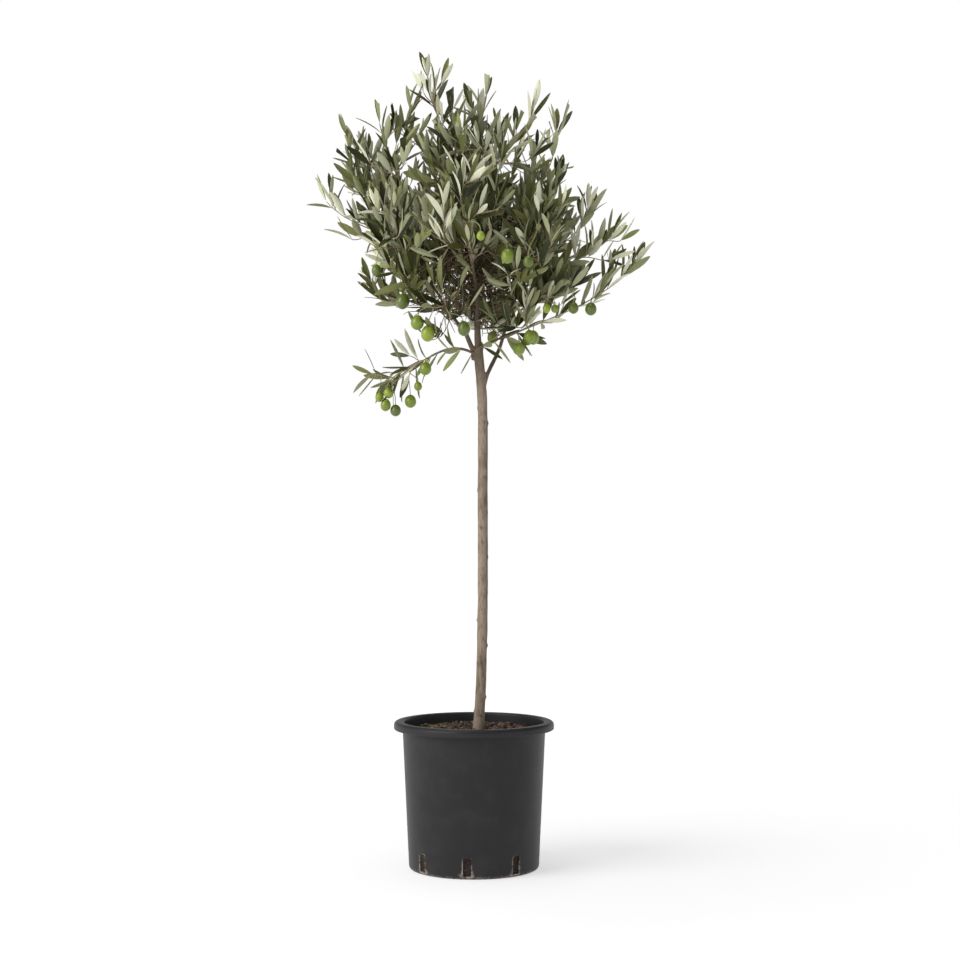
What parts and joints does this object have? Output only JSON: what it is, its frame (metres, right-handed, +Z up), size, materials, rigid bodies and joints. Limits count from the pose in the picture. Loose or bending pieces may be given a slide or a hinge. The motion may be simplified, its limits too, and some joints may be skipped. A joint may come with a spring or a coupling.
{
  "type": "potted olive tree",
  "caption": "Young olive tree grown as a standard, with a clear slender stem, a loose round head of narrow grey-green leaves and green fruit, in a black plastic nursery pot.",
  "frame": {"origin": "centre of the pot's flat underside", "axes": "+Z up along the pot's axis, -Y to the front, +X to the right seen from the front"},
  "size_m": [0.5065, 0.3822, 1.2242],
  "materials": {
    "pot": "satin black moulded plastic, dusty round the drain slots",
    "soil": "crumbly brown potting soil with bark chips",
    "bark": "smooth grey-brown young bark with small knots",
    "foliage": "leathery narrow leaves, dark above and silvery below"
  },
  "bodies": {
    "root": {"pot": "pot", "soil": "soil", "trunk": "bark", "leader_bough": "bark", "left_bough": "bark", "low_left_bough": "bark", "low_right_bough": "bark", "right_bough": "bark", "back_centre": "foliage", "back_left": "foliage", "back_low": "foliage", "back_right": "foliage", "crown_top": "foliage", "front_centre": "foliage", "front_left": "foliage", "front_low": "foliage", "front_right": "foliage", "heart": "foliage", "left_low": "foliage", "left_shoulder": "foliage", "left_shoulder_spray": "foliage", "left_spray": "foliage", "low_left_spray": "foliage", "low_right_spray": "foliage", "right_low": "foliage", "right_mid_spray": "foliage", "right_shoulder": "foliage", "right_upper_spray": "foliage", "top_centre_plume": "foliage", "top_left_plume": "foliage", "top_right_plume": "foliage", "upper_left_plume": "foliage", "upper_right_plume": "foliage"}
  },
  "joints": []
}
